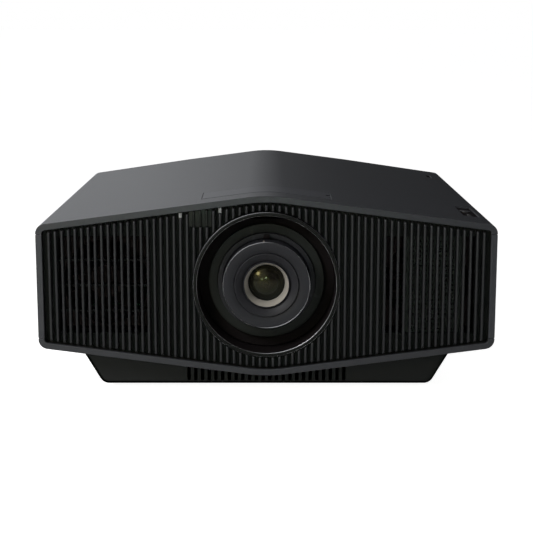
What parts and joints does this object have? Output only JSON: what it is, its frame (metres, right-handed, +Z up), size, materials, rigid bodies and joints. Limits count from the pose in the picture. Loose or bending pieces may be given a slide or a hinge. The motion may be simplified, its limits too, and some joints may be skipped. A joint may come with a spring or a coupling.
{
  "type": "home projector",
  "caption": "Compact home-cinema laser projector with a centred manual lens, ridged roof, louvred front, lens-shift hatch and screw feet.",
  "frame": {"origin": "on the standing surface, under the middle of the casing", "axes": "+Z up, +X to the viewer's right, the lens faces -Y"},
  "size_m": [0.46, 0.472, 0.2051],
  "materials": {
    "case_plastic": "fine texture, charcoal",
    "base_plastic": "fine texture, black",
    "grille_plastic": "satin, dark charcoal",
    "bezel_plastic": "satin black",
    "smoked_window": "smoked, polished",
    "light_pipe": "frosted",
    "lens_black": "satin black",
    "lens_trim": "turned edge",
    "lens_glass": "coated",
    "shield_metal": "black punched sheet",
    "steel": "plated",
    "die_cast": "cast",
    "dark_plastic": "satin black",
    "key_plastic": "satin",
    "board_green": "solder mask",
    "rubber": "matte",
    "phosphor": "phosphor coated",
    "screw_steel": "black zinc"
  },
  "bodies": {
    "casing": {"top_cover": "case_plastic", "left_side_cover": "case_plastic", "right_side_cover": "case_plastic", "bottom_cover": "case_plastic", "base_plinth": "base_plastic", "front_grille": "grille_plastic", "lens_bezel": "bezel_plastic", "ir_window": "smoked_window", "indicator_light_pipes": "light_pipe", "vent_ducts": "dark_plastic", "perforated_shield": "shield_metal", "left_fan_frame": "dark_plastic", "right_fan_frame": "dark_plastic", "lens_shift_base": "die_cast", "vertical_guide_rods": "steel", "shift_dial_tray": "dark_plastic", "control_panel": "dark_plastic", "key_board": "board_green", "rear_feet": "rubber", "internal_chassis": "steel", "optical_block": "die_cast", "imaging_core": "lens_glass", "phosphor_wheel_housing": "die_cast", "laser_module": "die_cast", "heatsink_and_pipes": "die_cast", "main_board": "board_green", "power_supply_board": "board_green", "rear_panel": "base_plastic", "rear_screws": "screw_steel", "terminal_plate": "shield_metal", "signal_sockets": "steel", "mini_jacks": "dark_plastic", "ac_inlet": "dark_plastic"},
    "access_cover": {"access_cover": "case_plastic"},
    "vertical_carriage": {"vertical_carriage": "die_cast", "horizontal_guide_rods": "steel"},
    "horizontal_carriage": {"horizontal_carriage": "die_cast", "lens_barrel": "lens_black", "rear_glass": "lens_glass"},
    "zoom_ring": {"zoom_ring": "lens_black"},
    "zoom_cell": {"zoom_cell": "lens_black", "zoom_glass": "lens_glass"},
    "focus_ring": {"focus_ring": "lens_black"},
    "front_cell": {"front_cell": "lens_black", "front_glass": "lens_glass", "retaining_ring": "lens_trim"},
    "vertical_shift_dial": {"vertical_shift_dial": "key_plastic"},
    "horizontal_shift_dial": {"horizontal_shift_dial": "key_plastic"},
    "power_button": {"power_button": "key_plastic"},
    "input_button": {"input_button": "key_plastic"},
    "menu_button": {"menu_button": "key_plastic"},
    "direction_pad": {"direction_pad": "key_plastic"},
    "enter_button": {"enter_button": "key_plastic"},
    "left_foot_pad": {"left_foot_pad": "rubber"},
    "left_foot_knob": {"left_foot_knob": "dark_plastic"},
    "right_foot_pad": {"right_foot_pad": "rubber"},
    "right_foot_knob": {"right_foot_knob": "dark_plastic"},
    "left_fan_rotor": {"left_fan_rotor": "dark_plastic"},
    "right_fan_rotor": {"right_fan_rotor": "dark_plastic"},
    "phosphor_wheel": {"phosphor_wheel": "phosphor"}
  },
  "joints": [
    {"name": "access_cover_lift", "type": "slide", "parent": "casing", "child": "access_cover", "axis": [0, 0, 1], "range_m": [0, 0.04]},
    {"name": "vertical_shift", "type": "slide", "parent": "casing", "child": "vertical_carriage", "axis": [0, 0, 1], "range_m": [-0.0054, 0.0054]},
    {"name": "horizontal_shift", "type": "slide", "parent": "vertical_carriage", "child": "horizontal_carriage", "axis": [1, 0, 0], "range_m": [-0.0034, 0.0034]},
    {"name": "zoom_turn", "type": "hinge", "parent": "horizontal_carriage", "child": "zoom_ring", "pos_m": [0, -0.19, 0.1149], "axis": [0, 1, 0], "range_deg": [-30, 30]},
    {"name": "zoom_travel", "type": "slide", "parent": "horizontal_carriage", "child": "zoom_cell", "axis": [0, 1, 0], "range_m": [-0.006, 0.006]},
    {"name": "focus_turn", "type": "hinge", "parent": "horizontal_carriage", "child": "focus_ring", "pos_m": [0, -0.2, 0.1149], "axis": [0, 1, 0], "range_deg": [-60, 60]},
    {"name": "focus_travel", "type": "slide", "parent": "horizontal_carriage", "child": "front_cell", "axis": [0, 1, 0], "range_m": [-0.0015, 0.0015]},
    {"name": "vertical_dial_turn", "type": "hinge", "parent": "casing", "child": "vertical_shift_dial", "pos_m": [-0.052, -0.177, 0.18], "axis": [0, 0, 1], "range_deg": [-545, 545]},
    {"name": "horizontal_dial_turn", "type": "hinge", "parent": "casing", "child": "horizontal_shift_dial", "pos_m": [0.052, -0.177, 0.18], "axis": [0, 0, 1], "range_deg": [-60, 60]},
    {"name": "power_button_press", "type": "slide", "parent": "casing", "child": "power_button", "axis": [-0.131, 0, -0.9914], "range_m": [0, 0.0006], "stiffness_N_per_m": 600, "springref_m": -0.0004},
    {"name": "input_button_press", "type": "slide", "parent": "casing", "child": "input_button", "axis": [-0.131, 0, -0.9914], "range_m": [0, 0.0006], "stiffness_N_per_m": 600, "springref_m": -0.0004},
    {"name": "menu_button_press", "type": "slide", "parent": "casing", "child": "menu_button", "axis": [-0.131, 0, -0.9914], "range_m": [0, 0.0006], "stiffness_N_per_m": 600, "springref_m": -0.0004},
    {"name": "direction_pad_press", "type": "slide", "parent": "casing", "child": "direction_pad", "axis": [-0.131, 0, -0.9914], "range_m": [0, 0.0006], "stiffness_N_per_m": 800, "springref_m": -0.0004},
    {"name": "enter_button_press", "type": "slide", "parent": "casing", "child": "enter_button", "axis": [-0.131, 0, -0.9914], "range_m": [0, 0.0006], "stiffness_N_per_m": 600, "springref_m": -0.0004},
    {"name": "left_foot_extend", "type": "slide", "parent": "casing", "child": "left_foot_pad", "axis": [0, 0, -1], "range_m": [0, 0.01]},
    {"name": "left_foot_turn", "type": "hinge", "parent": "left_foot_pad", "child": "left_foot_knob", "pos_m": [-0.12, -0.15, 0.005], "axis": [0, 0, 1], "range_deg": [0, 1210]},
    {"name": "left_fan_spin", "type": "hinge", "parent": "casing", "child": "left_fan_rotor", "pos_m": [-0.1635, -0.2, 0.1135], "axis": [0, 1, 0], "continuous": true},
    {"name": "right_foot_extend", "type": "slide", "parent": "casing", "child": "right_foot_pad", "axis": [0, 0, -1], "range_m": [0, 0.01]},
    {"name": "right_foot_turn", "type": "hinge", "parent": "right_foot_pad", "child": "right_foot_knob", "pos_m": [0.12, -0.15, 0.005], "axis": [0, 0, 1], "range_deg": [0, 1210]},
    {"name": "right_fan_spin", "type": "hinge", "parent": "casing", "child": "right_fan_rotor", "pos_m": [0.1635, -0.2, 0.1135], "axis": [0, 1, 0], "continuous": true},
    {"name": "phosphor_wheel_spin", "type": "hinge", "parent": "casing", "child": "phosphor_wheel", "pos_m": [0, 0.06, 0.108], "axis": [0, 1, 0], "continuous": true}
  ],
  "couplings": [
    {"joint": "vertical_dial_turn", "follows": "vertical_shift", "rad_per_m": 1745},
    {"joint": "horizontal_dial_turn", "follows": "horizontal_shift", "rad_per_m": 285.7},
    {"joint": "zoom_travel", "follows": "zoom_turn", "m_per_rad": 0.0114},
    {"joint": "focus_travel", "follows": "focus_turn", "m_per_rad": -0.00143},
    {"joint": "left_foot_turn", "follows": "left_foot_extend", "rad_per_m": 2094.4},
    {"joint": "right_foot_turn", "follows": "right_foot_extend", "rad_per_m": 2094.4}
  ]
}
